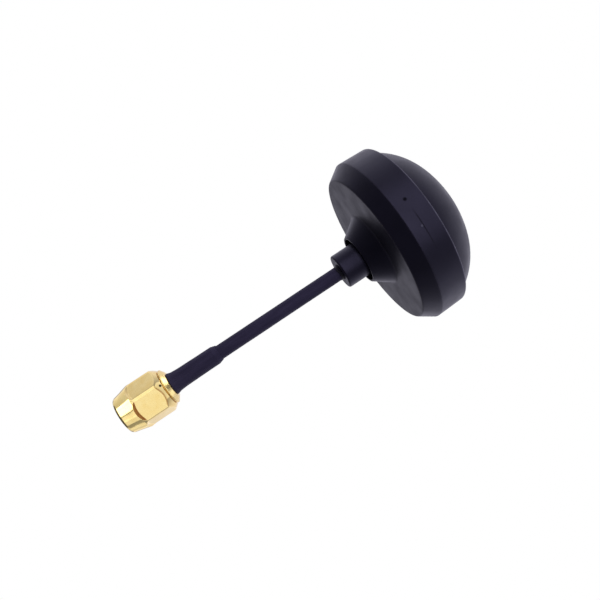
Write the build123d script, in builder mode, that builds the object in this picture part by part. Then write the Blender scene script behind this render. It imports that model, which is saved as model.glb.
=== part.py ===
"""Mushroom antenna: a circularly polarised radiator under a domed radome, on a stiff coaxial stem
that ends in a hexagonal screw-on plug.

Millimetres. +Z runs up the stem to the top of the dome. The origin is on the axis, in the plug's
reference plane, where the metal faces of two mated connectors meet.
"""

import os
from math import asin, cos, degrees, radians, sin

from build123d import *

os.makedirs("parts", exist_ok=True)

# ---- driving dimensions -------------------------------------------------------------------------

# coaxial cable, 2.2 mm semi-rigid
CORE_RADIUS = 0.255
DIELECTRIC_RADIUS = 0.84
SHIELD_RADIUS = 1.09
CABLE_START = 3.6  # the shield and dielectric butt against the plug's insulator
CORE_START = 2.5  # the core reaches on into the contact's rear cup

# plug body and its inner pieces
SPIGOT_RADIUS = 2.29
SPIGOT_BORE_RADIUS = 2.06
SPIGOT_LENGTH = 2.0  # the depth of the jack's bore
GASKET_SEAT_RADIUS = 2.45
GASKET_THICKNESS = 0.75
GASKET_GAP = 0.03
BODY_RADIUS = 3.05
BODY_END = 6.05
TAIL_RADIUS = 2.2
TAIL_END = 6.8
CONTACT_RADIUS = 0.635
SOCKET_RADIUS = 0.47
SOCKET_DEPTH = 2.2
SOCKET_SLOT_WIDTH = 0.2
SOCKET_SLOT_DEPTH = 1.8

# retaining ring between the body's groove and the nut's groove
RING_START = 3.55
RING_THICKNESS = 0.7
RING_INNER_RADIUS = 2.62
RING_OUTER_RADIUS = 3.42
RING_GAP_WIDTH = 1.2
RING_RADIAL_PLAY = 0.08
NUT_FLOAT = 0.12  # the nut's travel along the axis, each way from rest
AXIAL_PLAY = 0.05

# coupling nut, for a 1/4-36 thread
NUT_FRONT = -3.3
NUT_REAR = 6.1
NUT_TURNED_RADIUS = 4.5
NUT_ACROSS_FLATS = 8.0
NUT_CLEARANCE = 0.07  # between the nut's bore and the body, at the radius
NUT_BORE_RADIUS = BODY_RADIUS + NUT_CLEARANCE
RELIEF_RADIUS = 3.25
RELIEF_CHAMFER = 0.1
FRONT_STEPS = [(3.45, NUT_FRONT), (3.7, -2.93), (3.96, -1.8), (4.44, 0.35), (4.5, 0.8)]  # radius, height
REAR_CHAMFER_START = 5.0
NUT_REAR_RADIUS = 3.6
FLAT_START = -0.25
FLAT_RUNOUT_RADIUS = 0.55
THREAD_MINOR_RADIUS = 2.82
THREAD_PITCH = 25.4 / 36
THREAD_TURNS = 4
THREAD_LAND = 0.25  # share of the pitch that stays at the minor radius

# ferrule behind the nut
FERRULE_RADIUS = 3.48
FERRULE_START = 6.3
FERRULE_CONE_START = 6.55
FERRULE_REAR_RADIUS = 2.62  # at the small end of the cone
FERRULE_END = 7.15
FERRULE_TUBE_RADIUS = 1.5
FERRULE_TUBE_END = 8.0
FERRULE_REAR_ROUNDING = 0.12
FERRULE_FRONT_ROUNDING = 0.1
FERRULE_SOLDER_RADIUS = 1.45
FERRULE_SOLDER_END = 8.6

# sleeves shrunk over the cable
SLEEVE_RADIUS = 1.4
SLEEVE_START = 8.7
SLEEVE_END = 53.4
SLEEVE_CLEARANCE = 0.01
BOOT_GAP = 0.02
BOOT_START = FERRULE_END + BOOT_GAP
BOOT_FLARE_RADIUS = 2.26
BOOT_RADIUS = 1.86
BOOT_FLARE_MIDDLE = (2.0, BOOT_START + 0.8)  # radius and height on the flare's curve
BOOT_FLARE_END = BOOT_START + 2.6
BOOT_TAPER_START = 16.75
BOOT_TAPER_RADIUS = 1.79
BOOT_END = 17.7
BOOT_END_RADIUS = 1.5

# collar that holds the head on the stem
COLLAR_RADIUS = 3.45
COLLAR_START = 44.9
COLLAR_CLEARANCE = 0.05
COLLAR_BORE_RADIUS = SLEEVE_RADIUS + COLLAR_CLEARANCE
COLLAR_FLANGE_RADIUS = 4.8
COLLAR_FLANGE_THICKNESS = 0.95
COLLAR_CHAMFER = 0.3
ADHESIVE_REACH = 0.35  # the bead's height on the collar's face
ADHESIVE_RUN = 0.8  # and its length along the sleeve

# radome: a tray below, a cap above
FLAT_Z = 52.7  # the tray's flat underside
PARTING_Z = 55.57
LEDGE_Z = 61.0  # the step at the top of the cap's skirt
WALL = 1.3
TRAY_FLAT_RADIUS = 15.3
TRAY_TOP_RADIUS = 17.25
BOSS_MOUTH_Z = 49.2  # the hollow cone round the collar, from its mouth to the flat underside
BOSS_MOUTH_RADIUS = 4.9
BOSS_BASE_RADIUS = 7.45
BOSS_BORE_RADIUS = 4.5
BOSS_BORE_BASE_RADIUS = 6.4
COLLAR_SEAT_GAP = 0.02
COLLAR_HOLE_CLEARANCE = 0.03
COLLAR_HOLE_RADIUS = COLLAR_RADIUS + COLLAR_HOLE_CLEARANCE
TRAY_INNER_CHAMFER_RADIUS = 14.4  # where the tray's inside turns up beside its rim
TRAY_INNER_STEP = 0.2
LIP_RADIUS = 16.2
LIP_THICKNESS = 1.0
LIP_END = 57.25
SKIRT_RADIUS = 17.2
SKIRT_TOP_RADIUS = 17.0
SEAT_CLEARANCE = 0.05
SEAT_RADIUS = LIP_RADIUS + SEAT_CLEARANCE
SEAT_END = 57.4
SEAT_RISE = 0.4  # the cap's inside is upright this far above the seat
DOME_TOP_Z = 69.5
DOME_WALL = 1.2
MOUTH_ROUNDING = 0.12
BOSS_BASE_ROUNDING = 0.6
TRAY_EDGE_ROUNDING = 0.6
PARTING_ROUNDING = 0.05
LEDGE_ROUNDING = 0.2
CROWN_RADIUS = 22.4
CROWN_HALF_ANGLE = 27
SHOULDER_RADIUS = 13.1

# radiator: bent wire lobes between the cable's shield and its core
LOBE_COUNT = 4
WIRE_RADIUS = 0.4
HUB_Z = 59.35
LOBE_LENGTH = 12.2
LOBE_HALF_ANGLE = 50
LOBE_TILT = 27
LOBE_TIP_LENGTH = 12.7  # the lobe's far side bulges a little past its corners
LOBE_BENDS = [1.8, 6, 6, 1.8]
UPPER_END = (0.62, 60.35)  # radius and height where the wires meet the core
LOWER_END = (1.52, 58.4)  # and where they meet the shield
SHIELD_END = 58.7
DIELECTRIC_END = 59.7
CORE_END = 60.9

# solder joints at the hub, as radius and height
SOLDER_GAP = 0.02
CORE_SOLDER = [(1.1, DIELECTRIC_END + SOLDER_GAP), (1.45, UPPER_END[1]), (0.9, CORE_END - 0.1)]
SHIELD_SOLDER = [(2.1, LOWER_END[1] - 0.3), (2.1, LOWER_END[1] + 0.2), (1.5, SHIELD_END - SOLDER_GAP)]
SHIELD_SOLDER_START = LOWER_END[1] - 0.9


def nearest(sketch, radius, height):
    """The corner of a turned profile that lies nearest to this radius and height."""
    return sketch.vertices().sort_by_distance(Vector(radius, height))[0]


def save(builder, name):
    """Label the finished piece and write its STEP file."""
    builder.part.label = name
    export_step(builder.part, f"parts/{name}.step")


# ---- cable --------------------------------------------------------------------------------------

with BuildPart() as coax_core:
    with BuildSketch(Plane.XY.offset(CORE_START)):
        Circle(CORE_RADIUS)
    extrude(amount=CORE_END - CORE_START)
save(coax_core, "coax_core")

with BuildPart() as coax_dielectric:
    with BuildSketch(Plane.XY.offset(CABLE_START)):
        Circle(DIELECTRIC_RADIUS)
        Circle(CORE_RADIUS, mode=Mode.SUBTRACT)
    extrude(amount=DIELECTRIC_END - CABLE_START)
save(coax_dielectric, "coax_dielectric")

with BuildPart() as coax_shield:
    with BuildSketch(Plane.XY.offset(CABLE_START)):
        Circle(SHIELD_RADIUS)
        Circle(DIELECTRIC_RADIUS, mode=Mode.SUBTRACT)
    extrude(amount=SHIELD_END - CABLE_START)
save(coax_shield, "coax_shield")

with BuildPart() as cable_sleeve:
    with BuildSketch(Plane.XY.offset(SLEEVE_START)):
        Circle(SLEEVE_RADIUS)
        Circle(SHIELD_RADIUS, mode=Mode.SUBTRACT)
    extrude(amount=SLEEVE_END - SLEEVE_START)
save(cable_sleeve, "cable_sleeve")

# ---- plug ---------------------------------------------------------------------------------------

SHOULDER_Z = SPIGOT_LENGTH + GASKET_THICKNESS
RING_END = RING_START + RING_THICKNESS
BODY_GROOVE_START = RING_START - NUT_FLOAT - AXIAL_PLAY
BODY_GROOVE_END = RING_END + NUT_FLOAT + AXIAL_PLAY
BODY_GROOVE_RADIUS = RING_INNER_RADIUS - RING_RADIAL_PLAY

with BuildPart() as connector_body:
    with BuildSketch(Plane.XZ):
        with BuildLine():
            Polyline(
                (SPIGOT_BORE_RADIUS, 0),
                (SPIGOT_RADIUS, 0),
                (SPIGOT_RADIUS, SPIGOT_LENGTH),
                (GASKET_SEAT_RADIUS, SPIGOT_LENGTH),
                (GASKET_SEAT_RADIUS, SHOULDER_Z),
                (BODY_RADIUS, SHOULDER_Z),
                (BODY_RADIUS, BODY_GROOVE_START),
                (BODY_GROOVE_RADIUS, BODY_GROOVE_START),
                (BODY_GROOVE_RADIUS, BODY_GROOVE_END),
                (BODY_RADIUS, BODY_GROOVE_END),
                (BODY_RADIUS, BODY_END),
                (TAIL_RADIUS, BODY_END),
                (TAIL_RADIUS, TAIL_END),
                (SHIELD_RADIUS, TAIL_END),
                (SHIELD_RADIUS, CABLE_START),
                (SPIGOT_BORE_RADIUS, CABLE_START),
                close=True,
            )
        make_face()
    revolve(axis=Axis.Z)
save(connector_body, "connector_body")

with BuildPart() as contact_insulator:
    with BuildSketch(Plane.XY):
        Circle(SPIGOT_BORE_RADIUS)
        Circle(CONTACT_RADIUS, mode=Mode.SUBTRACT)
    extrude(amount=CABLE_START)
save(contact_insulator, "contact_insulator")

# a socket at the mating end, closed by a thin web, and a solder cup for the core behind it
with BuildPart() as centre_contact:
    with BuildSketch(Plane.XY):
        Circle(CONTACT_RADIUS)
    extrude(amount=CABLE_START)
    with BuildSketch(Plane.XY):
        Circle(SOCKET_RADIUS)
    extrude(amount=SOCKET_DEPTH, mode=Mode.SUBTRACT)
    with BuildSketch(Plane.XY.offset(CORE_START)):
        Circle(CORE_RADIUS)
    extrude(amount=CABLE_START - CORE_START, mode=Mode.SUBTRACT)
    with BuildSketch(Plane.XY):
        Rectangle(2 * CONTACT_RADIUS, SOCKET_SLOT_WIDTH)
    extrude(amount=SOCKET_SLOT_DEPTH, mode=Mode.SUBTRACT)
save(centre_contact, "centre_contact")

with BuildPart() as face_gasket:
    with BuildSketch(Plane.XY.offset(SPIGOT_LENGTH)):
        Circle(BODY_RADIUS)
        Circle(GASKET_SEAT_RADIUS + GASKET_GAP, mode=Mode.SUBTRACT)
    extrude(amount=GASKET_THICKNESS)
save(face_gasket, "face_gasket")

# a split ring, sprung into the nut's groove
with BuildPart() as retaining_ring:
    with BuildSketch(Plane.XY.offset(RING_START)):
        Circle(RING_OUTER_RADIUS)
        Circle(RING_INNER_RADIUS, mode=Mode.SUBTRACT)
        with Locations((RING_OUTER_RADIUS, 0)):
            Rectangle(2 * RING_OUTER_RADIUS, RING_GAP_WIDTH, mode=Mode.SUBTRACT)
    extrude(amount=RING_THICKNESS)
save(retaining_ring, "retaining_ring")

THREAD_LENGTH = (THREAD_TURNS + THREAD_LAND) * THREAD_PITCH
THREAD_DEPTH = 0.5413 * THREAD_PITCH  # of a 60 degree thread with flat crests and roots
GROOVE_MOUTH = (1 - THREAD_LAND) / 2 * THREAD_PITCH  # half widths of a groove
GROOVE_ROOT = THREAD_PITCH / 16
CUTTER_REACH = 2  # how far the milling cutter stands clear of the nut
NUT_GROOVE_RADIUS = RING_OUTER_RADIUS + RING_RADIAL_PLAY

# turned profile first, then the thread's grooves, then six milled flats that run out in a curve
with BuildPart() as coupling_nut:
    with BuildSketch(Plane.XZ):
        with BuildLine():
            Polyline(
                (RELIEF_RADIUS, NUT_FRONT),
                *FRONT_STEPS,
                (NUT_TURNED_RADIUS, REAR_CHAMFER_START),
                (NUT_REAR_RADIUS, NUT_REAR),
                (NUT_BORE_RADIUS, NUT_REAR),
                (NUT_BORE_RADIUS, RING_END + AXIAL_PLAY),
                (NUT_GROOVE_RADIUS, RING_END + AXIAL_PLAY),
                (NUT_GROOVE_RADIUS, RING_START - AXIAL_PLAY),
                (NUT_BORE_RADIUS, RING_START - AXIAL_PLAY),
                (NUT_BORE_RADIUS, SHOULDER_Z),
                (RELIEF_RADIUS, SHOULDER_Z - RELIEF_CHAMFER),
                (RELIEF_RADIUS, 0),
                (THREAD_MINOR_RADIUS, 0),
                (THREAD_MINOR_RADIUS, -THREAD_LENGTH),
                close=True,
            )
        make_face()
    revolve(axis=Axis.Z)
    for turn in range(THREAD_TURNS):
        groove_centre = -(turn + 0.5 + THREAD_LAND / 2) * THREAD_PITCH
        with BuildSketch(Plane.XZ):
            with BuildLine():
                Polyline(
                    (THREAD_MINOR_RADIUS, groove_centre - GROOVE_MOUTH),
                    (THREAD_MINOR_RADIUS + THREAD_DEPTH, groove_centre - GROOVE_ROOT),
                    (THREAD_MINOR_RADIUS + THREAD_DEPTH, groove_centre + GROOVE_ROOT),
                    (THREAD_MINOR_RADIUS, groove_centre + GROOVE_MOUTH),
                    close=True,
                )
            make_face()
        revolve(axis=Axis.Z, mode=Mode.SUBTRACT)
    for side in range(6):
        facing = radians(60 * side)
        with BuildSketch(
            Plane((0, 0, 0), x_dir=(cos(facing), sin(facing), 0), z_dir=(sin(facing), -cos(facing), 0))
        ) as milled_flat:
            with BuildLine():
                Polyline(
                    (NUT_ACROSS_FLATS / 2, FLAT_START),
                    (NUT_ACROSS_FLATS / 2 + CUTTER_REACH, FLAT_START),
                    (NUT_ACROSS_FLATS / 2 + CUTTER_REACH, NUT_REAR + CUTTER_REACH),
                    (NUT_ACROSS_FLATS / 2, NUT_REAR + CUTTER_REACH),
                    close=True,
                )
            make_face()
            fillet(nearest(milled_flat, NUT_ACROSS_FLATS / 2, FLAT_START), FLAT_RUNOUT_RADIUS)
        extrude(amount=NUT_TURNED_RADIUS, both=True, mode=Mode.SUBTRACT)
save(coupling_nut, "coupling_nut")

with BuildPart() as rear_ferrule:
    with BuildSketch(Plane.XZ) as ferrule_profile:
        with BuildLine():
            Polyline(
                (TAIL_RADIUS, FERRULE_START),
                (FERRULE_RADIUS, FERRULE_START),
                (FERRULE_RADIUS, FERRULE_CONE_START),
                (FERRULE_REAR_RADIUS, FERRULE_END),
                (FERRULE_TUBE_RADIUS, FERRULE_END),
                (FERRULE_TUBE_RADIUS, FERRULE_TUBE_END),
                (SHIELD_RADIUS, FERRULE_TUBE_END),
                (SHIELD_RADIUS, TAIL_END),
                (TAIL_RADIUS, TAIL_END),
                close=True,
            )
        make_face()
        fillet(nearest(ferrule_profile, FERRULE_REAR_RADIUS, FERRULE_END), FERRULE_REAR_ROUNDING)
        fillet(nearest(ferrule_profile, FERRULE_RADIUS, FERRULE_START), FERRULE_FRONT_ROUNDING)
    revolve(axis=Axis.Z)
save(rear_ferrule, "rear_ferrule")

with BuildPart() as ferrule_solder:
    with BuildSketch(Plane.XZ):
        with BuildLine():
            Polyline(
                (SHIELD_RADIUS, FERRULE_TUBE_END),
                (FERRULE_SOLDER_RADIUS, FERRULE_TUBE_END),
                (SHIELD_RADIUS, FERRULE_SOLDER_END),
                close=True,
            )
        make_face()
    revolve(axis=Axis.Z)
save(ferrule_solder, "ferrule_solder")

# shrunk over the ferrule's tube and the end of the cable sleeve, flared at the ferrule
with BuildPart() as connector_boot:
    with BuildSketch(Plane.XZ):
        with BuildLine():
            flare = Spline(
                (BOOT_FLARE_RADIUS, BOOT_START),
                BOOT_FLARE_MIDDLE,
                (BOOT_RADIUS, BOOT_FLARE_END),
                tangents=[(-0.6, 0.8), (0, 1)],
            )
            Polyline(
                flare @ 1,
                (BOOT_TAPER_RADIUS, BOOT_TAPER_START),
                (BOOT_END_RADIUS, BOOT_END),
                (SLEEVE_RADIUS + SLEEVE_CLEARANCE, BOOT_END),
                (SLEEVE_RADIUS + SLEEVE_CLEARANCE, SLEEVE_START),
                (FERRULE_TUBE_RADIUS + SLEEVE_CLEARANCE, FERRULE_TUBE_END),
                (FERRULE_TUBE_RADIUS + SLEEVE_CLEARANCE, BOOT_START),
                flare @ 0,
            )
        make_face()
    revolve(axis=Axis.Z)
save(connector_boot, "connector_boot")

# ---- head: collar and radome --------------------------------------------------------------------

FLOOR_Z = FLAT_Z + WALL
COLLAR_SEAT_Z = FLOOR_Z + COLLAR_SEAT_GAP

with BuildPart() as neck_collar:
    with BuildSketch(Plane.XZ) as collar_profile:
        with BuildLine():
            Polyline(
                (COLLAR_BORE_RADIUS, COLLAR_START),
                (COLLAR_RADIUS, COLLAR_START),
                (COLLAR_RADIUS, COLLAR_SEAT_Z),
                (COLLAR_FLANGE_RADIUS, COLLAR_SEAT_Z),
                (COLLAR_FLANGE_RADIUS, COLLAR_SEAT_Z + COLLAR_FLANGE_THICKNESS),
                (COLLAR_BORE_RADIUS, COLLAR_SEAT_Z + COLLAR_FLANGE_THICKNESS),
                close=True,
            )
        make_face()
        chamfer(nearest(collar_profile, COLLAR_RADIUS, COLLAR_START), COLLAR_CHAMFER)
    revolve(axis=Axis.Z)
save(neck_collar, "neck_collar")

with BuildPart() as collar_adhesive:
    with BuildSketch(Plane.XZ):
        with BuildLine():
            Polyline(
                (SLEEVE_RADIUS, COLLAR_START),
                (SLEEVE_RADIUS + ADHESIVE_REACH, COLLAR_START),
                (SLEEVE_RADIUS, COLLAR_START - ADHESIVE_RUN),
                close=True,
            )
        make_face()
    revolve(axis=Axis.Z)
save(collar_adhesive, "collar_adhesive")

with BuildPart() as radome_tray:
    with BuildSketch(Plane.XZ) as tray_profile:
        with BuildLine():
            Polyline(
                (BOSS_BORE_RADIUS, BOSS_MOUTH_Z),
                (BOSS_MOUTH_RADIUS, BOSS_MOUTH_Z),
                (BOSS_BASE_RADIUS, FLAT_Z),
                (TRAY_FLAT_RADIUS, FLAT_Z),
                (TRAY_TOP_RADIUS, PARTING_Z),
                (LIP_RADIUS, PARTING_Z),
                (LIP_RADIUS, LIP_END),
                (LIP_RADIUS - LIP_THICKNESS, LIP_END),
                (LIP_RADIUS - LIP_THICKNESS, PARTING_Z - TRAY_INNER_STEP),
                (TRAY_INNER_CHAMFER_RADIUS, FLOOR_Z),
                (COLLAR_HOLE_RADIUS, FLOOR_Z),
                (COLLAR_HOLE_RADIUS, FLAT_Z),
                (BOSS_BORE_BASE_RADIUS, FLAT_Z),
                close=True,
            )
        make_face()
        fillet(nearest(tray_profile, BOSS_MOUTH_RADIUS, BOSS_MOUTH_Z), MOUTH_ROUNDING)
        fillet(nearest(tray_profile, BOSS_BORE_RADIUS, BOSS_MOUTH_Z), MOUTH_ROUNDING)
        fillet(nearest(tray_profile, BOSS_BASE_RADIUS, FLAT_Z), BOSS_BASE_ROUNDING)
        fillet(nearest(tray_profile, TRAY_FLAT_RADIUS, FLAT_Z), TRAY_EDGE_ROUNDING)
        fillet(nearest(tray_profile, TRAY_TOP_RADIUS, PARTING_Z), PARTING_ROUNDING)
    revolve(axis=Axis.Z)
save(radome_tray, "radome_tray")

# the dome is a flat crown arc that runs into a tighter shoulder arc, and its inside follows it
crown_centre_z = DOME_TOP_Z - CROWN_RADIUS
shoulder_centre_radius = (CROWN_RADIUS - SHOULDER_RADIUS) * sin(radians(CROWN_HALF_ANGLE))
shoulder_centre_z = crown_centre_z + (CROWN_RADIUS - SHOULDER_RADIUS) * cos(radians(CROWN_HALF_ANGLE))
inner_shoulder_radius = SHOULDER_RADIUS - DOME_WALL
ledge_angle = degrees(asin((LEDGE_Z - shoulder_centre_z) / SHOULDER_RADIUS))
seat_angle = degrees(asin((SEAT_END + SEAT_RISE - shoulder_centre_z) / inner_shoulder_radius))

with BuildPart() as radome_cap:
    with BuildSketch(Plane.XZ) as cap_profile:
        with BuildLine():
            crown = CenterArc(
                (0, crown_centre_z), CROWN_RADIUS, 90 - CROWN_HALF_ANGLE, arc_size=CROWN_HALF_ANGLE
            )
            shoulder = CenterArc(
                (shoulder_centre_radius, shoulder_centre_z),
                SHOULDER_RADIUS,
                ledge_angle,
                arc_size=90 - CROWN_HALF_ANGLE - ledge_angle,
            )
            inner_crown = CenterArc(
                (0, crown_centre_z),
                CROWN_RADIUS - DOME_WALL,
                90 - CROWN_HALF_ANGLE,
                arc_size=CROWN_HALF_ANGLE,
            )
            inner_shoulder = CenterArc(
                (shoulder_centre_radius, shoulder_centre_z),
                inner_shoulder_radius,
                seat_angle,
                arc_size=90 - CROWN_HALF_ANGLE - seat_angle,
            )
            Line(crown @ 1, inner_crown @ 1)
            Polyline(
                inner_shoulder @ 0,
                ((inner_shoulder @ 0).X, SEAT_END),
                (SEAT_RADIUS, SEAT_END),
                (SEAT_RADIUS, PARTING_Z),
                (SKIRT_RADIUS, PARTING_Z),
                (SKIRT_TOP_RADIUS, LEDGE_Z),
                shoulder @ 0,
            )
        make_face()
        fillet(nearest(cap_profile, SKIRT_RADIUS, PARTING_Z), PARTING_ROUNDING)
        fillet(nearest(cap_profile, SKIRT_TOP_RADIUS, LEDGE_Z), LEDGE_ROUNDING)
    revolve(axis=Axis.Z)
save(radome_cap, "radome_cap")

# ---- radiator -----------------------------------------------------------------------------------


def on_lobe(reach, angle):
    """A point of the first lobe's tilted plane, from the hub, before the lobe is turned into place."""
    across = reach * sin(radians(angle))
    return Vector(
        reach * cos(radians(angle)),
        across * cos(radians(LOBE_TILT)),
        HUB_Z + across * sin(radians(LOBE_TILT)),
    )


def wire_end(end, corner):
    """Where the leg to this corner leaves the hub, at the end's radius and height."""
    radius, height = end
    outward = Vector(corner.X, corner.Y, 0).normalized()
    return outward * radius + Vector(0, 0, height)


lobes = []
for number in range(LOBE_COUNT):
    upper_corner = on_lobe(LOBE_LENGTH, LOBE_HALF_ANGLE)
    lower_corner = on_lobe(LOBE_LENGTH, -LOBE_HALF_ANGLE)
    route = [
        wire_end(UPPER_END, upper_corner),
        upper_corner,
        on_lobe(LOBE_TIP_LENGTH, LOBE_HALF_ANGLE / 3),
        on_lobe(LOBE_TIP_LENGTH, -LOBE_HALF_ANGLE / 3),
        lower_corner,
        wire_end(LOWER_END, lower_corner),
    ]
    with BuildPart() as lobe:
        with BuildLine() as bent_wire:
            FilletPolyline(*route, radius=LOBE_BENDS)
        with BuildSketch(Plane(route[0], z_dir=route[1] - route[0])):
            Circle(WIRE_RADIUS)
        sweep(path=bent_wire.line)
    lobe.part = lobe.part.rotate(Axis.Z, 360 / LOBE_COUNT * number)
    lobes.append(lobe.part)
    save(lobe, f"lobe_{number + 1}")

with BuildPart() as core_solder:
    with BuildSketch(Plane.XZ):
        with BuildLine():
            Polyline(
                (CORE_RADIUS, DIELECTRIC_END + SOLDER_GAP),
                *CORE_SOLDER,
                (CORE_RADIUS, CORE_END),
                close=True,
            )
        make_face()
    revolve(axis=Axis.Z)
    add(lobes, mode=Mode.SUBTRACT)
save(core_solder, "core_solder")

with BuildPart() as shield_solder:
    with BuildSketch(Plane.XZ):
        with BuildLine():
            Polyline(
                (SHIELD_RADIUS, SHIELD_SOLDER_START),
                *SHIELD_SOLDER,
                (SHIELD_RADIUS, SHIELD_END),
                close=True,
            )
        make_face()
    revolve(axis=Axis.Z)
    add(lobes, mode=Mode.SUBTRACT)
save(shield_solder, "shield_solder")
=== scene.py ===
"""Looks for the mushroom antenna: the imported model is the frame, and the visible skins stand on it.

Metres in Blender. Profiles are written in millimetres, as (radius, height) round the Z axis.
"""

from math import acos, atan2, cos, hypot, pi, radians, sin, sqrt, tan

import bmesh
import bpy
from mathutils import Matrix, Vector, noise


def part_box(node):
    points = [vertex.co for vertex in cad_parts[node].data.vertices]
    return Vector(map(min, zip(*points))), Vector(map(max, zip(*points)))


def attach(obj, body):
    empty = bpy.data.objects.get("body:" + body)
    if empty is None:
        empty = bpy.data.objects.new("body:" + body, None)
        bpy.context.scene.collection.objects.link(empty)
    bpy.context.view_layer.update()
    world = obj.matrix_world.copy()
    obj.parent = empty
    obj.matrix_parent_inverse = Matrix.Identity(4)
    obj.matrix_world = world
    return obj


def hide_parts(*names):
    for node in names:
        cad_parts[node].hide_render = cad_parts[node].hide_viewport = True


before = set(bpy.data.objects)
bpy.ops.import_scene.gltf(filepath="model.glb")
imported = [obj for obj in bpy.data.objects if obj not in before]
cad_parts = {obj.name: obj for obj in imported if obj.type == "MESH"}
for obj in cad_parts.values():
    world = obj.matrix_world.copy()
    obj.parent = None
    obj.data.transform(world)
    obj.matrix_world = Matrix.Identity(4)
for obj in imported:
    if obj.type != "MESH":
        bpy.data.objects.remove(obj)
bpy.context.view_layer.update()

MM = 0.001
SCENE = bpy.context.scene


def reach(node):
    """Outer radius, lowest and highest point of a CAD node, in millimetres."""
    low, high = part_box(node)
    return high.x / MM, low.z / MM, high.z / MM


# ---- mesh helpers -------------------------------------------------------------------------------

ROUND_UP = 0.999  # a run is cut once more only if it is clearly longer than whole steps
MOST_OF_EDGE = 0.49  # the most of an edge that the rounding at one of its ends may take
NOISE_GAIN = 1.6  # brings Blender's noise to about -1 to 1


def corner_arc(here, before, after, rounding, arc_steps):
    """Points of the arc that rounds a corner, from the edge before it to the edge after it."""
    to_before, to_after = before.normalized(), after.normalized()
    half = acos(max(-1, min(1, to_before.dot(to_after)))) / 2
    cut = min(rounding / tan(half), before.length * MOST_OF_EDGE, after.length * MOST_OF_EDGE)
    radius = cut * tan(half)
    centre = here + (to_before + to_after).normalized() * (radius / sin(half))
    start, end = here + to_before * cut - centre, here + to_after * cut - centre
    swing = start.angle(end)
    arc = []
    for k in range(arc_steps + 1):
        t = k / arc_steps
        mixed = (start * sin((1 - t) * swing) + end * sin(t * swing)) / sin(swing)
        arc.append(centre + mixed)
    return arc


def rounded(corners, step=0.4, arc_steps=6):
    """A closed profile from (radius, height, rounding), with its straight runs cut into steps."""
    points = []
    count = len(corners)
    for index, (r, z, rounding) in enumerate(corners):
        here = Vector((r, z))
        before = Vector(corners[index - 1][:2]) - here
        after = Vector(corners[(index + 1) % count][:2]) - here
        points.append(corner_arc(here, before, after, rounding, arc_steps) if rounding > 0 else [here])
    outline = []
    for index, group in enumerate(points):
        outline.extend(group)
        here, there = group[-1], points[(index + 1) % count][0]
        pieces = max(1, int((there - here).length / step + ROUND_UP))
        for k in range(1, pieces):
            outline.append(here.lerp(there, k / pieces))
    return [(p.x, p.y) for p in outline]


def new_object(name, mesh):
    made = bpy.data.objects.new(name, mesh)
    SCENE.collection.objects.link(made)
    return made


def smooth_object(name, shape):
    """An object with smooth shading from a bmesh, its normals turned outward."""
    bmesh.ops.recalc_face_normals(shape, faces=shape.faces)
    mesh = bpy.data.meshes.new(name)
    shape.to_mesh(mesh)
    shape.free()
    mesh.shade_smooth()
    return new_object(name, mesh)


def turned(name, outline, segments=192, warp=None, angles=None):
    """A closed profile turned round Z. warp(radius, height, angle) may move each point."""
    angles = angles or [2 * pi * k / segments for k in range(segments)]
    vertices, faces = [], []
    for angle in angles:
        for r, z in outline:
            if warp:
                r, z = warp(r, z, angle)
            vertices.append((r * cos(angle) * MM, r * sin(angle) * MM, z * MM))
    n, count = len(outline), len(angles)
    for a in range(count):
        b = (a + 1) % count
        for k in range(n):
            m = (k + 1) % n
            faces.append((a * n + k, a * n + m, b * n + m, b * n + k))
    mesh = bpy.data.meshes.new(name)
    mesh.from_pydata(vertices, [], faces)
    mesh.validate()
    shape = bmesh.new()
    shape.from_mesh(mesh)
    bpy.data.meshes.remove(mesh)
    return smooth_object(name, shape)


def wobble(angle, z, size, turns=1.0, seed=0.0):
    """Smooth noise on a cylinder, about -1 to 1, with features of this size in millimetres."""
    spot = Vector((cos(angle) * turns + seed, sin(angle) * turns, z / size))
    return noise.noise(spot) * NOISE_GAIN


# ---- materials ----------------------------------------------------------------------------------

CLOUD_RANGE = (0.3, 0.7)  # most values of a noise texture lie between these
MIX_A, MIX_B, MIX_RESULT = 6, 7, 2  # colour sockets of Blender's Mix node


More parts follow.
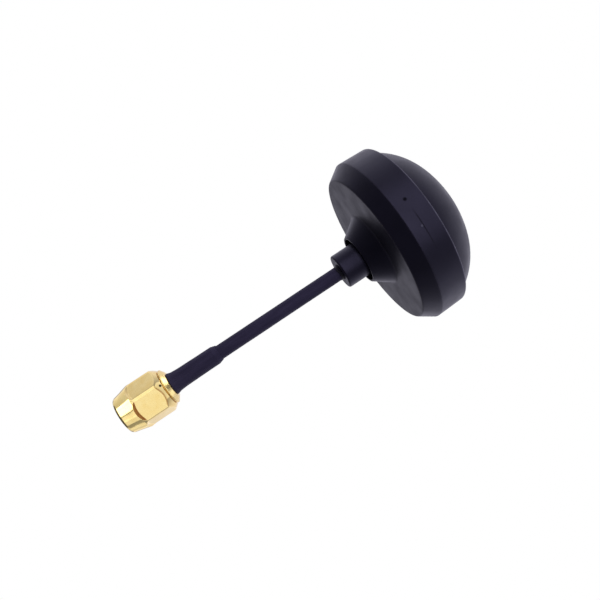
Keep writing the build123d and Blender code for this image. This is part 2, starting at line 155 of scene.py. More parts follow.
class Shader:
    """A node material whose textures run in the object's own millimetres."""

    def __init__(self, name):
        self.material = bpy.data.materials.new(name)
        self.material.use_nodes = True
        self.tree = self.material.node_tree
        self.surface = self.tree.nodes["Principled BSDF"]
        coordinates = self.add("ShaderNodeTexCoord")
        scaled = self.add("ShaderNodeVectorMath", operation="SCALE")
        scaled.inputs["Scale"].default_value = 1 / MM
        self.link(coordinates.outputs["Object"], scaled.inputs[0])
        self.place = scaled.outputs[0]

    def add(self, kind, **settings):
        node = self.tree.nodes.new(kind)
        for key, value in settings.items():
            setattr(node, key, value)
        return node

    def link(self, output, entry):
        self.tree.links.new(output, entry)

    def set(self, **values):
        for key, value in values.items():
            self.surface.inputs[key.replace("_", " ")].default_value = value

    def stretched(self, scale):
        node = self.add("ShaderNodeMapping")
        node.inputs["Scale"].default_value = scale
        self.link(self.place, node.inputs["Vector"])
        return node.outputs[0]

    def noise(self, scale, detail, vector=None):
        node = self.add("ShaderNodeTexNoise")
        node.inputs["Scale"].default_value = scale
        node.inputs["Detail"].default_value = detail
        self.link(vector or self.place, node.inputs["Vector"])
        return node.outputs["Fac"]

    def spread(self, value, low, high, to_low=0.0, to_high=1.0):
        node = self.add("ShaderNodeMapRange")
        ends = {"From Min": low, "From Max": high, "To Min": to_low, "To Max": to_high}
        for key, number in ends.items():
            node.inputs[key].default_value = number
        self.link(value, node.inputs["Value"])
        return node.outputs["Result"]

    def cloud(self, scale, detail, to_low=0.0, to_high=1.0, vector=None):
        """Noise that runs from one value to another."""
        return self.spread(self.noise(scale, detail, vector), *CLOUD_RANGE, to_low, to_high)

    def blend(self, factor, first, second):
        node = self.add("ShaderNodeMix", data_type="RGBA")
        self.link(factor, node.inputs["Factor"])
        for entry, colour in ((node.inputs[MIX_A], first), (node.inputs[MIX_B], second)):
            if hasattr(colour, "links"):
                self.link(colour, entry)
            else:
                entry.default_value = (*colour, 1)
        return node.outputs[MIX_RESULT]

    def maths(self, operation, first, second):
        node = self.add("ShaderNodeMath", operation=operation)
        for entry, value in zip(node.inputs, (first, second)):
            if hasattr(value, "links"):
                self.link(value, entry)
            else:
                entry.default_value = value
        return node.outputs[0]

    def plus(self, first, second):
        return self.maths("ADD", first, second)

    def times(self, first, second):
        return self.maths("MULTIPLY", first, second)

    def height(self):
        split = self.add("ShaderNodeSeparateXYZ")
        self.link(self.place, split.inputs[0])
        return split.outputs["Z"]

    def from_height(self, height):
        """How far a point is above or below this height."""
        return self.maths("ABSOLUTE", self.maths("SUBTRACT", self.height(), height), 0.0)

    def tilt(self):
        """How far the surface leans toward the head."""
        normal = self.add("ShaderNodeNewGeometry")
        split = self.add("ShaderNodeSeparateXYZ")
        self.link(normal.outputs["Normal"], split.inputs[0])
        return split.outputs["Z"]

    def near(self, spot, inner, outer):
        """1 within the inner distance of a place on the object, and 0 beyond the outer one."""
        away = self.add("ShaderNodeVectorMath", operation="DISTANCE")
        self.link(self.place, away.inputs[0])
        away.inputs[1].default_value = spot
        return self.spread(away.outputs["Value"], inner, outer, 1.0, 0.0)

    def colour(self, output):
        self.link(output, self.surface.inputs["Base Color"])

    def roughness(self, output):
        self.link(output, self.surface.inputs["Roughness"])

    def bump(self, height, depth, strength):
        """height runs from 0 to 1, and depth is in millimetres."""
        node = self.add("ShaderNodeBump")
        node.inputs["Strength"].default_value = strength
        node.inputs["Distance"].default_value = depth * MM
        self.link(height, node.inputs["Height"])
        last = self.surface.inputs["Normal"]
        if last.is_linked:
            self.link(last.links[0].from_socket, node.inputs["Normal"])
        self.link(node.outputs[0], last)


def on_side(radius, azimuth, height):
    """A place at this radius and height, at an azimuth in degrees from the -Y side."""
    return radius * sin(radians(azimuth)), -radius * cos(radians(azimuth)), height


# satin moulded plastic of the head and the collar

DUST_RANGE = (0.74, 0.82)
SKIRT_FACE = 17.12
# azimuth, height, size, colour, added roughness: a pit and a pale fleck
SPECKS = (
    (3.4, 57.9, 0.42, (0.002, 0.002, 0.003), 0.55),
    (21.0, 57.7, 0.26, (0.09, 0.088, 0.11), 0.0),
)
SCRATCH_AZIMUTH, SCRATCH_HEIGHT = 23, 57.95
SCRATCH_WIDTHS = (0.03, 0.13)  # half widths of its core and of its soft edge
SCRATCH_REACH = (2.2, 4.2)  # where it begins to fade, and where it ends
SCRATCH_COLOUR = (0.003, 0.003, 0.004)
SCRATCH_ROUGHNESS = 0.35
# a painted highlight: a pale line along the top edge of the skirt
LEDGE_HIGHLIGHT_HEIGHT, LEDGE_HIGHLIGHT_WIDTH = 60.93, 0.22
LEDGE_HIGHLIGHT_COLOUR = (0.15, 0.145, 0.19)
LEDGE_HIGHLIGHT_LEAST = 0.3  # how much of the line's colour is left where it is faintest


def satin(shader, dark, light, rough):
    """Colour and roughness of satin plastic with a little dust."""
    tint = shader.blend(shader.cloud(0.22, 3), dark, light)
    dust = shader.spread(shader.noise(2.2, 2), *DUST_RANGE)
    tint = shader.blend(dust, tint, tuple(2.0 * c for c in light))
    return tint, shader.cloud(0.3, 3, rough - 0.04, rough + 0.06)


def painted_ledge_highlight(shader, tint):
    """A painted highlight: a pale line along the edge at the top of the skirt, patchy along its
    length.
    """
    off = shader.from_height(LEDGE_HIGHLIGHT_HEIGHT)
    line = shader.spread(off, LEDGE_HIGHLIGHT_WIDTH * 0.4, LEDGE_HIGHLIGHT_WIDTH, 1.0, 0.0)
    patchy = shader.spread(shader.noise(0.3, 2), 0.35, 0.65, LEDGE_HIGHLIGHT_LEAST, 1.0)
    return shader.blend(shader.times(line, patchy), tint, LEDGE_HIGHLIGHT_COLOUR)


def skirt_marks(shader, tint, rough):
    """Two specks and a short scratch on the skirt."""
    for azimuth, height, size, colour, dull in SPECKS:
        inside = shader.near(on_side(SKIRT_FACE, azimuth, height), size * 0.5, size)
        tint = shader.blend(inside, tint, colour)
        rough = shader.plus(rough, shader.times(inside, dull))
    line = shader.spread(shader.from_height(SCRATCH_HEIGHT), *SCRATCH_WIDTHS, 1.0, 0.0)
    around = shader.near(on_side(SKIRT_FACE, SCRATCH_AZIMUTH, SCRATCH_HEIGHT), *SCRATCH_REACH)
    scratch = shader.times(line, around)
    tint = shader.blend(scratch, tint, SCRATCH_COLOUR)
    return tint, shader.plus(rough, shader.times(scratch, SCRATCH_ROUGHNESS))


def moulded_plastic(name, dark, light, rough, painted_light_and_marks=False):
    shader = Shader(name)
    tint, roughness = satin(shader, dark, light, rough)
    if painted_light_and_marks:
        # painted highlight along the top edge of the skirt
        tint = painted_ledge_highlight(shader, tint)
        tint, roughness = skirt_marks(shader, tint, roughness)
    shader.colour(tint)
    shader.roughness(roughness)
    shader.bump(shader.noise(7, 3), 0.002, 0.4)
    shader.bump(shader.noise(0.35, 2), 0.01, 0.3)
    shader.set(IOR=1.5, Specular_Tint=(0.70, 0.68, 1.0, 1))
    return shader.material


def heat_shrink():
    """Shrink tubing, with its texture drawn out along the stem."""
    shader = Shader("heat_shrink_tube")
    along = shader.stretched((1, 1, 0.15))
    streaks = shader.cloud(1.4, 4, vector=along)
    shader.colour(shader.blend(streaks, (0.038, 0.033, 0.066), (0.056, 0.049, 0.094)))
    shader.roughness(shader.cloud(1.1, 3, 0.5, 0.66))
    shader.bump(shader.noise(5, 4, along), 0.02, 0.6)
    shader.bump(shader.noise(16, 3), 0.006, 0.5)
    shader.set(IOR=1.46, Specular_IOR_Level=0.2, Specular_Tint=(0.72, 0.70, 1.0, 1))
    return shader.material


# gold plating over turned brass

PIT_RANGE = (0.70, 0.80)
PIT_COLOUR = (0.50, 0.25, 0.09)
RUNOUT_LOW, RUNOUT_HIGH = -0.3, 1.1  # the heights between which the flats run out
RUNOUT_TILT = (0.06, 0.22)
SHADED_RUNOUT = on_side(4.2, 30, 0.0)  # the one run-out darkened brown with painted shade
RUNOUT_SHADE_REACH = (2.1, 2.5)
RUNOUT_SHADE_COLOUR = (0.46, 0.22, 0.06)
RUNOUT_SHADE_ROUGHNESS = 0.25
GAP_SHADE_SPOT = on_side(3.8, 3.3, 5.85)  # painted shade of the gap behind the nut, on the rear chamfer
GAP_SHADE_REACH = (0.2, 0.3)
GAP_SHADE_COLOUR = (0.02, 0.015, 0.01)
GAP_SHADE_ROUGHNESS = 0.5


def nut_painted_shade(shader, plated, roughness):
    """Painted shade: brown in the hollow of one run-out, and a dark spot on the rear chamfer by the
    gap behind the nut.
    """
    height = shader.height()
    below = shader.spread(height, RUNOUT_HIGH - 0.05, RUNOUT_HIGH + 0.05, 1.0, 0.0)
    band = shader.times(below, shader.spread(height, RUNOUT_LOW - 0.1, RUNOUT_LOW))
    # painted shade in the hollow of one run-out
    runout_shade = shader.times(band, shader.spread(shader.tilt(), *RUNOUT_TILT))
    runout_shade = shader.times(runout_shade, shader.near(SHADED_RUNOUT, *RUNOUT_SHADE_REACH))
    plated = shader.blend(runout_shade, plated, RUNOUT_SHADE_COLOUR)
    roughness = shader.plus(roughness, shader.times(runout_shade, RUNOUT_SHADE_ROUGHNESS))
    # painted shade of the gap between the nut and the ferrule
    spot = shader.near(GAP_SHADE_SPOT, *GAP_SHADE_REACH)
    plated = shader.blend(spot, plated, GAP_SHADE_COLOUR)
    return plated, shader.plus(roughness, shader.times(spot, GAP_SHADE_ROUGHNESS))


def gold(name, rough, cutter_lines, painted_light_and_marks=False):
    """cutter_lines scales the noise: the larger Z is, the finer the rings left by turning."""
    shader = Shader(name)
    plated = shader.blend(shader.cloud(0.7, 3), (0.93, 0.70, 0.27), (0.98, 0.79, 0.36))
    plated = shader.blend(shader.spread(shader.noise(3.6, 3), *PIT_RANGE), plated, PIT_COLOUR)
    lines = shader.noise(3, 3, shader.stretched(cutter_lines))
    roughness = shader.spread(lines, *CLOUD_RANGE, rough * 0.7, rough * 1.4)
    # painted shade in one run-out and by the gap behind the nut
    if painted_light_and_marks:
        plated, roughness = nut_painted_shade(shader, plated, roughness)
    shader.colour(plated)
    shader.roughness(roughness)
    shader.bump(lines, 0.004, 0.5)
    shader.bump(shader.noise(1.1, 2), 0.02, 0.5)
    shader.set(Metallic=1.0)
    return shader.material


def soft_solid(name, tone, rough):
    """A plain soft material that lets a little light in: insulator, gasket or adhesive."""
    shader = Shader(name)
    shader.colour(shader.blend(shader.cloud(0.9, 3), tone, tuple(0.9 * c for c in tone)))
    shader.roughness(shader.cloud(2.5, 3, rough - 0.08, rough + 0.08))
    shader.bump(shader.noise(7, 3), 0.008, 0.5)
    shader.set(IOR=1.36, Subsurface_Weight=0.15, Subsurface_Scale=0.0004)
    return shader.material


def bare_metal(name, dark, light, rough, ripple):
    shader = Shader(name)
    shader.colour(shader.blend(shader.cloud(1.1, 4), dark, light))
    shader.roughness(shader.cloud(3, 3, rough * 0.75, rough * 1.3))
    shader.bump(shader.noise(2.4, 3), ripple, 0.7)
    shader.set(Metallic=1.0)
    return shader.material


radome_plastic = moulded_plastic(
    "radome_plastic", (0.0075, 0.0068, 0.0125), (0.0115, 0.0105, 0.019), 0.38, painted_light_and_marks=True
)
collar_plastic = moulded_plastic("collar_plastic", (0.008, 0.0068, 0.015), (0.012, 0.010, 0.022), 0.4)
shrink_tube = heat_shrink()
nut_gold = gold("gold_turned", 0.11, (0.6, 0.6, 5), painted_light_and_marks=True)
body_gold = gold("gold_body", 0.13, (0.6, 0.6, 6))
ferrule_gold = gold("gold_ferrule", 0.3, (0.6, 0.6, 6))
ptfe = soft_solid("ptfe", (0.80, 0.79, 0.75), 0.45)
silicone = soft_solid("silicone", (0.55, 0.12, 0.07), 0.5)
copper = bare_metal("copper_wire", (0.72, 0.33, 0.18), (0.85, 0.44, 0.26), 0.28, 0.01)
solder = bare_metal("solder", (0.46, 0.46, 0.48), (0.62, 0.62, 0.63), 0.32, 0.03)
bronze = bare_metal("spring_bronze", (0.55, 0.36, 0.2), (0.66, 0.45, 0.26), 0.3, 0.01)
glue = soft_solid("adhesive", (0.02, 0.018, 0.03), 0.35)

COPPER_NODES = ("coax_core", "coax_shield", "lobe_1", "lobe_2", "lobe_3", "lobe_4")
SOLDER_NODES = ("core_solder", "shield_solder", "ferrule_solder")
CARRIED = {
    "connector_body": body_gold,
    "centre_contact": body_gold,
    "rear_ferrule": ferrule_gold,
    "contact_insulator": ptfe,
    "coax_dielectric": ptfe,
    "face_gasket": silicone,
    **dict.fromkeys(COPPER_NODES, copper),
    **dict.fromkeys(SOLDER_NODES, solder),
    "retaining_ring": bronze,
}
for node, finish in CARRIED.items():
    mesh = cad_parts[node].data
    mesh.materials.clear()
    mesh.materials.append(finish)


def dress(piece, finish, body, node):
    """Give a new piece its finish and slot, and let it stand for a CAD node on this body."""
    piece.data.materials.append(finish)
    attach(piece, body)
    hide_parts(node)


# ---- coupling nut -------------------------------------------------------------------------------

_, NUT_FRONT, NUT_REAR = reach("coupling_nut")
SIDE = pi / 3  # the angle that one of the six flats takes
TURNED_RADIUS = 4.5
FRONT_RADIUS = 3.45
MILLED_FROM = 3.44  # points further in than this belong to the nut's inside
HALF_FLATS = 4.0
FLAT_START = -0.25
RUNOUT = 0.55  # radius of the curve in which a flat runs out
RUNOUT_BOW = 0.6  # how much further back a flat starts at its corners than at its middle
CORNER_BLEND = 0.2
NUT_BORE = 3.12
GROOVE_RADIUS, GROOVE_LOW, GROOVE_HIGH = 3.5, 3.5, 4.3  # for the split ring
BORE_START = 2.75
RELIEF_RADIUS = 3.25
THREAD_PITCH = 25.4 / 36
THREAD_MINOR = 2.82
THREAD_FRONT = -2.999
RIDGE_SLOPE = 0.32  # share of the pitch that one side of the thread's ridge takes
RIDGE_ROOT = 0.2
REAR_FADE = 0.35  # the length over which the thread dies away behind
FRONT_FADE = 0.3
FRONT_LEFT = 0.15  # what is left of the thread's depth at its very front
COLUMNS_PER_SIDE = 64
CROWDING = 0.6  # how much closer the mesh's columns stand near the corners


def smooth_least(a, b, width):
    """The lesser of two numbers, with a soft change from one to the other."""
    h = max(0.0, min(1.0, 0.5 + 0.5 * (b - a) / width))
    return b + (a - b) * h - width * h * (1 - h)


def milled(r, z, angle):
    """The outside of the nut: the turned radius, cut back by the nearest flat."""
    if r < MILLED_FROM:
        return r, z
    off = (angle + SIDE / 2) % SIDE - SIDE / 2
    into = z - FLAT_START - RUNOUT_BOW * (tan(off) / tan(SIDE / 2)) ** 2
    if into < 0:
        return r, z
    depth = HALF_FLATS
    if into < RUNOUT:
        depth = HALF_FLATS + RUNOUT - sqrt(RUNOUT**2 - (RUNOUT - into) ** 2)
    return smooth_least(r, depth / cos(off), CORNER_BLEND), z


def nut_surface(r, z, angle):
    """The nut's outside is milled, and its inside carries one helical thread."""
    if abs(r - RELIEF_RADIUS) < 1e-6 and THREAD_FRONT - 1e-6 <= z <= 0.0:
        turn = (z / THREAD_PITCH - angle / (2 * pi)) % 1.0
        ridge = max(0.0, min(1.0, (0.5 - abs(turn - 0.5)) / RIDGE_SLOPE - RIDGE_ROOT))
        fade = min(1.0, -z / REAR_FADE) * min(1.0, (z - THREAD_FRONT) / FRONT_FADE + FRONT_LEFT)
        return RELIEF_RADIUS - (RELIEF_RADIUS - THREAD_MINOR) * ridge * max(0.0, fade), z
    return milled(r, z, angle)


def nut_angles():
    """Columns of the nut, closer together near the corners between flats."""
    columns = []
    for side in range(6):
        for k in range(COLUMNS_PER_SIDE):
            t = k / COLUMNS_PER_SIDE
            eased = t + CROWDING * sin(2 * pi * t) / (2 * pi)
            columns.append((side + eased) * SIDE)
    return columns


nut_outline = rounded(
    [
        (RELIEF_RADIUS, NUT_FRONT, 0.08),
        (FRONT_RADIUS, NUT_FRONT, 0.12),
        (3.7, NUT_FRONT + 0.37, 0.3),
        (3.96, NUT_FRONT + 1.5, 0.8),
        (TURNED_RADIUS - 0.05, NUT_FRONT + 3.3, 0.4),
        (TURNED_RADIUS, NUT_FRONT + 3.9, 0.0),
        (TURNED_RADIUS, NUT_REAR - 1.1, 0.2),
        (3.6, NUT_REAR, 0.08),
        (NUT_BORE, NUT_REAR, 0.06),
        (NUT_BORE, GROOVE_HIGH, 0.03),
        (GROOVE_RADIUS, GROOVE_HIGH, 0.03),
        (GROOVE_RADIUS, GROOVE_LOW, 0.03),
        (NUT_BORE, GROOVE_LOW, 0.03),
        (NUT_BORE, BORE_START, 0.03),
        (RELIEF_RADIUS, BORE_START - 0.1, 0.03),
        (RELIEF_RADIUS, 0.0, 0.0),
        (RELIEF_RADIUS, THREAD_FRONT, 0.0),
    ],
    step=0.11,
    arc_steps=5,
)
coupling_nut = turned("nut_shell", nut_outline, warp=nut_surface, angles=nut_angles())
dress(coupling_nut, nut_gold, "coupling_nut", "coupling_nut")

# ---- sleeves shrunk on the stem -----------------------------------------------------------------

SLEEVE_RADIUS, SLEEVE_START, SLEEVE_END = reach("cable_sleeve")
BOOT_FLARE, BOOT_START, BOOT_END = reach("connector_boot")
SHIELD_RADIUS = reach("coax_shield")[0]
SLEEVE_BORE = SHIELD_RADIUS + 0.005
SLEEVE_ROUNDING = 0.08


def shrunk(r, z, angle):
    """Heat-shrink tubing on the cable: long soft waves and a faint ripple, inward only."""
    if r < SLEEVE_RADIUS - 0.1:
        return r, z
    wave = 0.5 - 0.5 * wobble(angle, z, 6.0, 0.6, 3.0)
    ripple = 0.5 - 0.5 * wobble(angle, z, 1.3, 1.6, 9.0)
    return r - 0.018 * max(0.0, wave) - 0.008 * max(0.0, ripple), z


sleeve_outline = rounded(
    [
        (SLEEVE_BORE, SLEEVE_START, 0.0),
        (SLEEVE_RADIUS, SLEEVE_START, SLEEVE_ROUNDING),
        (SLEEVE_RADIUS, SLEEVE_END, SLEEVE_ROUNDING),
        (SLEEVE_BORE, SLEEVE_END, 0.0),
    ],
    step=0.3,
)
stem_sleeve = turned("stem_sleeve", sleeve_outline, segments=72, warp=shrunk)
dress(stem_sleeve, shrink_tube, "antenna", "cable_sleeve")

BOOT_RADIUS = 1.86
BOOT_INSIDE = 1.55  # points further in than this keep their place, but for the boot's end
FERRULE_TUBE_BORE = 1.53  # where the boot lies on the ferrule's tube
FERRULE_TUBE_END = 8.0
FLARE_LENGTH = 3.0
END_LENGTH = 2.2  # the stretch that the uneven end pulls back
END_PULL = 0.30
BOOT_BORE = SLEEVE_RADIUS + 0.015


def gathered(r, z, angle):
    """The boot: soft lengthwise folds at the flare, small waves along it, and an uneven end."""
    if r < BOOT_INSIDE and z < BOOT_END - 1.2:
        return r, z
    flare = max(0.0, 1 - (z - BOOT_START) / FLARE_LENGTH)
    folds = wobble(angle, z, 5.0, 1.7, 5.0)
    waves = wobble(angle, z, 2.2, 1.0, 1.0)
    r -= 0.05 * flare * (0.5 + 0.5 * folds) + 0.022 * (0.5 + 0.5 * waves)
    tip = max(0.0, (z - (BOOT_END - END_LENGTH)) / END_LENGTH)
    z -= END_PULL * tip * (0.5 + 0.5 * wobble(angle, 0.0, 1.0, 1.1, 7.0))
    return r, z


boot_outline = rounded(
    [
        (FERRULE_TUBE_BORE, BOOT_START, 0.0),
        (BOOT_FLARE, BOOT_START, 0.12),
        (BOOT_RADIUS + 0.13, BOOT_START + 0.8, 1.2),
        (BOOT_RADIUS, BOOT_START + 2.4, 2.5),
        (BOOT_RADIUS - 0.07, BOOT_END - 1.0, 0.8),
        (SLEEVE_RADIUS + 0.10, BOOT_END, 0.08),
        (BOOT_BORE, BOOT_END, 0.0),
        (BOOT_BORE, SLEEVE_START, 0.0),
        (FERRULE_TUBE_BORE, FERRULE_TUBE_END, 0.0),
    ],
    step=0.15,
)
boot = turned("boot_sleeve", boot_outline, segments=96, warp=gathered)
dress(boot, shrink_tube, "antenna", "connector_boot")

# ---- collar and its adhesive --------------------------------------------------------------------

COLLAR_FLANGE, COLLAR_START, COLLAR_TOP = reach("neck_collar")
COLLAR_RADIUS = 3.45
COLLAR_BORE = SLEEVE_RADIUS + 0.05
COLLAR_SEAT = COLLAR_TOP - 0.95  # the flange's underside
FLANGE_ROUNDING = 0.1

collar_outline = rounded(
    [
        (COLLAR_BORE, COLLAR_START, 0.15),
        (COLLAR_RADIUS, COLLAR_START, 0.32),
        (COLLAR_RADIUS, COLLAR_SEAT, 0.0),
        (COLLAR_FLANGE, COLLAR_SEAT, FLANGE_ROUNDING),
        (COLLAR_FLANGE, COLLAR_TOP, FLANGE_ROUNDING),
        (COLLAR_BORE, COLLAR_TOP, 0.0),
    ],
    step=0.3,
)
collar = turned("collar_bush", collar_outline, segments=144)
dress(collar, collar_plastic, "antenna", "neck_collar")

BEAD_RADIUS, BEAD_LOW, BEAD_HIGH = reach("collar_adhesive")
BEAD_INSIDE = SLEEVE_RADIUS - 0.06  # the bead reaches a little into the sleeve, so no gap shows
BEAD_LIFT = 0.35


def lumpy(r, z, angle):
    """The bead is wider in some places, and runs down the sleeve less in others."""
    lump = 0.5 + 0.5 * wobble(angle, 0.0, 1.0, 1.3, 2.0)
    if z > BEAD_HIGH - 0.02:
        return SLEEVE_RADIUS + (r - SLEEVE_RADIUS) * (0.6 + 0.4 * lump), z
    return r, z + BEAD_LIFT * lump * (BEAD_HIGH - z) / (BEAD_HIGH - BEAD_LOW)


bead_outline = rounded(
    [
        (BEAD_INSIDE, BEAD_LOW, 0.0),
        (SLEEVE_RADIUS + 0.05, BEAD_LOW + 0.1, 0.2),
        (SLEEVE_RADIUS + 0.12, BEAD_HIGH - 0.3, 0.5),
        (BEAD_RADIUS, BEAD_HIGH, 0.05),
        (BEAD_INSIDE, BEAD_HIGH, 0.0),
    ],
    step=0.1,
)
bead = turned("adhesive_bead", bead_outline, segments=96, warp=lumpy)
dress(bead, glue, "antenna", "collar_adhesive")

# ---- radome -------------------------------------------------------------------------------------

_, BOSS_MOUTH_Z, LIP_END = reach("radome_tray")
RADOME_SEGMENTS = 256
FLAT_Z = 52.7
PARTING_Z = 55.57
WALL = 1.3
FLOOR_Z = FLAT_Z + WALL
TRAY_TOP_RADIUS = 17.23
LIP_RADIUS = 16.2
LIP_INSIDE = 15.2
COLLAR_HOLE = COLLAR_RADIUS + 0.03

tray_outline = rounded(
    [
        (4.5, BOSS_MOUTH_Z, 0.12),
        (4.9, BOSS_MOUTH_Z, 0.14),
        (7.45, FLAT_Z, 0.6),
        (15.3, FLAT_Z, 0.45),
        (TRAY_TOP_RADIUS, PARTING_Z, 0.04),
        (LIP_RADIUS, PARTING_Z, 0.0),
        (LIP_RADIUS, LIP_END, 0.05),
        (LIP_INSIDE, LIP_END, 0.05),
        (LIP_INSIDE, PARTING_Z - 0.2, 0.3),
        (14.4, FLOOR_Z, 0.3),
        (COLLAR_HOLE, FLOOR_Z, 0.0),
        (COLLAR_HOLE, FLAT_Z, 0.0),
        (6.4, FLAT_Z, 0.2),
    ],
    step=0.5,
)
tray = turned("tray_shell", tray_outline, segments=RADOME_SEGMENTS)
dress(tray, radome_plastic, "antenna", "radome_tray")

SKIRT_RADIUS, _, DOME_TOP = reach("radome_cap")
LEDGE_Z = 61.0
SKIRT_TOP = 17.0
CROWN, SHOULDER, HALF_CROWN = 22.4, 13.1, radians(27)
DOME_WALL = 1.2
SEAT_RADIUS, SEAT_END = 16.25, 57.4
INSIDE_START = SEAT_END + 0.4  # where the cap's inside begins to curve
OUTER_STEPS, INNER_STEPS = 40, 24  # of each of the dome's two arcs
crown_z = DOME_TOP - CROWN
shoulder_r = (CROWN - SHOULDER) * sin(HALF_CROWN)
shoulder_z = crown_z + (CROWN - SHOULDER) * cos(HALF_CROWN)


def dome_run(wall, from_z, steps):
    """Points of the dome, this wall's depth inside, from a height on its shoulder to near the axis."""
    shoulder, crown = SHOULDER - wall, CROWN - wall
    low = atan2(from_z - shoulder_z, sqrt(shoulder**2 - (from_z - shoulder_z) ** 2))
    high = pi / 2 - HALF_CROWN
    run = []
    for k in range(steps):
        angle = low + (high - low) * k / steps
        run.append((shoulder_r + shoulder * cos(angle), shoulder_z + shoulder * sin(angle)))
    for k in range(steps):
        angle = high + (pi / 2 - high) * k / steps
        run.append((crown * cos(angle), crown_z + crown * sin(angle)))
    return run


def nearest(outline, spot):
    """Index of the outline's point that lies nearest to a spot."""
    return min(
        range(len(outline)),
        key=lambda k: hypot(outline[k][0] - spot[0], outline[k][1] - spot[1]),
    )


def cap_profile():
    """The cap's section from just off the axis inside, round the skirt, to just off it outside."""
    ledge_r = dome_run(0, LEDGE_Z, 1)[0][0]
    seat_r = dome_run(DOME_WALL, INSIDE_START, 1)[0][0]
    edge = rounded(
        [
            (SEAT_RADIUS, PARTING_Z, 0.0),
            (SKIRT_RADIUS, PARTING_Z, 0.03),
            (SKIRT_TOP, LEDGE_Z, 0.2),
            (ledge_r, LEDGE_Z, 0.0),
            (seat_r, INSIDE_START, 0.0),
            (seat_r, SEAT_END, 0.0),
            (SEAT_RADIUS, SEAT_END, 0.0),
        ],
        step=0.35,
    )
    outside = edge[: nearest(edge, (ledge_r, LEDGE_Z)) + 1] + dome_run(0, LEDGE_Z, OUTER_STEPS)[1:]
    seat = edge[nearest(edge, (seat_r, INSIDE_START)) :]
    inside = dome_run(DOME_WALL, INSIDE_START, INNER_STEPS)[1:]
    return inside[::-1] + seat + outside


def build_cap(name, segments):
    """Skirt, ledge and dome as one closed shell, with a single point at the top of each side."""
    shape = bmesh.new()
    rings = []
    for r, z in cap_profile():
        ring = []
        for k in range(segments):
            turn = 2 * pi * k / segments
            ring.append(shape.verts.new((r * cos(turn) * MM, r * sin(turn) * MM, z * MM)))
        rings.append(ring)
    for low, high in zip(rings, rings[1:]):
        for k in range(segments):
            m = (k + 1) % segments
            shape.faces.new((low[k], low[m], high[m], high[k]))
    top = shape.verts.new((0, 0, DOME_TOP * MM))
    under = shape.verts.new((0, 0, (DOME_TOP - DOME_WALL) * MM))
    for k in range(segments):
        m = (k + 1) % segments
        shape.faces.new((rings[-1][k], rings[-1][m], top))
        shape.faces.new((rings[0][m], rings[0][k], under))
    bmesh.ops.remove_doubles(shape, verts=shape.verts, dist=1e-8)
    return smooth_object(name, shape)


cap = build_cap("cap_shell", RADOME_SEGMENTS)
dress(cap, radome_plastic, "antenna", "radome_cap")

# ---- camera -------------------------------------------------------------------------------------

CAMERA_AZIMUTH = radians(17.3)
CAMERA_RISE = radians(4.84)  # the camera looks up by this much
AXIS_TILT = radians(33.63)  # the stem's angle above the picture's horizontal
CAMERA_DISTANCE = 115 * MM
AIM_HEIGHT = 35.6 * MM
AIM_ASIDE = 0.17 * MM
LENS, SENSOR = 36.5, 36

forward = Vector(
    (
        -sin(CAMERA_AZIMUTH) * cos(CAMERA_RISE),
        cos(CAMERA_AZIMUTH) * cos(CAMERA_RISE),
        sin(CAMERA_RISE),
    )
)
along = (Vector((0, 0, 1)) - forward * forward.z).normalized()
across = forward.cross(along)
right = along * cos(AXIS_TILT) + across * sin(AXIS_TILT)
up = along * sin(AXIS_TILT) - across * cos(AXIS_TILT)
aim = Vector((0, 0, AIM_HEIGHT)) + across * AIM_ASIDE
place = aim - forward * CAMERA_DISTANCE
camera_data = bpy.data.cameras.new("camera")
camera_data.lens = LENS
camera_data.sensor_width = SENSOR
camera_data.clip_start = MM
camera = new_object("camera", camera_data)
camera.matrix_world = Matrix(
    (
        (right.x, up.x, -forward.x, place.x),
        (right.y, up.y, -forward.y, place.y),
        (right.z, up.z, -forward.z, place.z),
        (0, 0, 0, 1),
    )
)
SCENE.camera = camera

# ---- lights -------------------------------------------------------------------------------------

SCENE.view_settings.view_transform = "Standard"
FERRULE = Vector((0, 0, 0.0068))
PLUG = Vector((0, 0, 0.001))
HEAD = Vector((0, 0, 0.058))
FAR, CLOSE = 260, 14.2  # how far a lamp stands from the place that it lights, in millimetres
NEUTRAL, WARM, COOL = (1, 1, 1), (1.0, 0.62, 0.36), (0.90, 0.86, 1.0)

# The mirror-like plug shows its lamps, and the plastics only their light, so each has its own.
PLUG_NODES = ("connector_body", "rear_ferrule", "centre_contact", "contact_insulator", "face_gasket")
plug_pieces = bpy.data.collections.new("metal")
for piece in (coupling_nut, *(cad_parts[name] for name in PLUG_NODES)):
    plug_pieces.objects.link(piece)
plastic_pieces = bpy.data.collections.new("plastic")
for piece in (stem_sleeve, boot, collar, bead, tray, cap):
    plastic_pieces.objects.link(piece)

# name, angle sideways and upward from the camera's side, width and height, all in degrees, radiance
PLUG_LAMPS = (
    ("key", -35, -38, 46, 22, 2.4),
    ("front", 37, -36, 48, 24, 0.60),
    ("rear", 124, -38, 50, 30, 0.5),
    ("low_left", -100, -36, 90, 30, 0.55),
    ("low_middle", 0, -36, 60, 30, 0.42),
    ("low_right", 75, -36, 70, 30, 0.24),
    ("brow", -36, -10, 72, 26, 1.0),
    ("panel", 34, -10, 68, 26, 0.85),
    ("side", -104, -12, 64, 30, 0.27),
    ("back", 145, -12, 50, 26, 0.25),
    ("above", 0, 66, 70, 40, 0.55),
)
WARM_LAMP = ("warm", 10, 24, 110, 40, 0.34)
FERRULE_LAMPS = (("glint", -100, 68.5, 28, 28, 2.8), ("glow", 95, 69, 28, 28, 0.8))
HEAD_LAMP = ("face", -12, 12, 74, 44, 1.05)


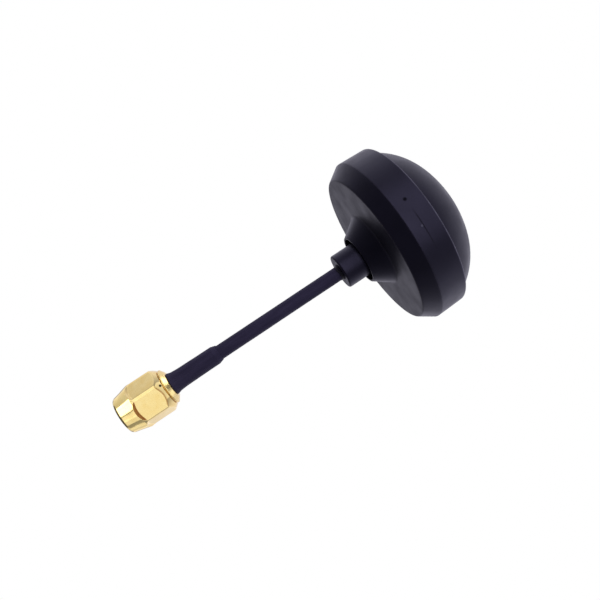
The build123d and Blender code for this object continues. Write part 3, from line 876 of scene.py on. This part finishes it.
def softbox(lamp, receivers, about=PLUG, distance=FAR, tone=NEUTRAL):
    """A rectangular lamp that lights only its receivers and points at a place on the object."""
    name, sideways, upward, wide, tall, radiance = lamp
    turn, lift = radians(sideways), radians(upward)
    level = Vector((-forward.x, -forward.y, 0)).normalized()
    beside = Vector((0, 0, 1)).cross(level)
    toward = (level * cos(turn) + beside * sin(turn)) * cos(lift) + Vector((0, 0, sin(lift)))
    data = bpy.data.lights.new(name, "AREA")
    data.shape = "RECTANGLE"
    data.size = 2 * distance * tan(radians(wide / 2)) * MM
    data.size_y = 2 * distance * tan(radians(tall / 2)) * MM
    data.energy = radiance * pi * data.size * data.size_y
    data.color = tone
    box = new_object(name, data)
    box.location = about + toward * distance * MM
    box.rotation_euler = toward.to_track_quat("Z", "Y").to_euler()
    box.visible_camera = False
    box.light_linking.receiver_collection = receivers


for lamp in PLUG_LAMPS:
    softbox(lamp, plug_pieces)
softbox(WARM_LAMP, plug_pieces, tone=WARM)
for lamp in FERRULE_LAMPS:
    softbox(lamp, plug_pieces, about=FERRULE, distance=CLOSE)
softbox(HEAD_LAMP, plastic_pieces, about=HEAD, tone=COOL)

# ---- surroundings: white to the camera, a soft cool gradient to everything else --------------------

# each fade runs from one cosine to another, and from one brightness to another
FACING_FADE = (-0.7, 0.6, 0.2, 1.0)  # dim on the camera's side
LOW_FADE = (-0.6, 0.1, 0.22, 1.0)  # dim below
HIGH_FADE = (0.35, 0.95, 1.0, 0.75)  # a little dimmer overhead
SKY_COLOUR = (0.88, 0.86, 1.0, 1)
WHITE = (1, 1, 1, 1)

world = bpy.data.worlds.new("studio")
SCENE.world = world
world.use_nodes = True
nodes, links = world.node_tree.nodes, world.node_tree.links
nodes.clear()


def world_fade(value, low, high, to_low, to_high):
    node = nodes.new("ShaderNodeMapRange")
    node.interpolation_type = "SMOOTHSTEP"
    ends = {"From Min": low, "From Max": high, "To Min": to_low, "To Max": to_high}
    for key, number in ends.items():
        node.inputs[key].default_value = number
    links.new(value, node.inputs["Value"])
    return node.outputs["Result"]


def world_product(first, second):
    node = nodes.new("ShaderNodeMath")
    node.operation = "MULTIPLY"
    links.new(first, node.inputs[0])
    links.new(second, node.inputs[1])
    return node.outputs[0]


def background(colour):
    node = nodes.new("ShaderNodeBackground")
    node.inputs["Color"].default_value = colour
    return node


coordinates = nodes.new("ShaderNodeTexCoord")
facing = nodes.new("ShaderNodeVectorMath")
facing.operation = "DOT_PRODUCT"
facing.inputs[1].default_value = forward
links.new(coordinates.outputs["Generated"], facing.inputs[0])
split = nodes.new("ShaderNodeSeparateXYZ")
links.new(coordinates.outputs["Generated"], split.inputs[0])
behind = world_fade(facing.outputs["Value"], *FACING_FADE)
lower = world_fade(split.outputs["Z"], *LOW_FADE)
upper = world_fade(split.outputs["Z"], *HIGH_FADE)
sky = background(SKY_COLOUR)
links.new(world_product(behind, world_product(lower, upper)), sky.inputs["Strength"])
paper = background(WHITE)
paths = nodes.new("ShaderNodeLightPath")
choice = nodes.new("ShaderNodeMixShader")
links.new(paths.outputs["Is Camera Ray"], choice.inputs["Fac"])
links.new(sky.outputs[0], choice.inputs[1])
links.new(paper.outputs[0], choice.inputs[2])
output = nodes.new("ShaderNodeOutputWorld")
links.new(choice.outputs[0], output.inputs["Surface"])

# ---- floor --------------------------------------------------------------------------------------

FLOOR_RADIUS = 140 * MM
FLOOR_HEIGHT = -160 * MM

floor_mesh = bpy.data.meshes.new("floor")
disc = bmesh.new()
bmesh.ops.create_circle(disc, cap_ends=True, segments=96, radius=FLOOR_RADIUS)
disc.to_mesh(floor_mesh)
disc.free()
floor = new_object("floor", floor_mesh)
floor.location.z = FLOOR_HEIGHT
floor.visible_glossy = False
floor.visible_diffuse = False
paint = bpy.data.materials.new("pale_floor")
paint.use_nodes = True
surface = paint.node_tree.nodes["Principled BSDF"]
surface.inputs["Base Color"].default_value = (0.9, 0.9, 0.9, 1)
surface.inputs["Emission Color"].default_value = WHITE
surface.inputs["Emission Strength"].default_value = 1.0
floor_mesh.materials.append(paint)
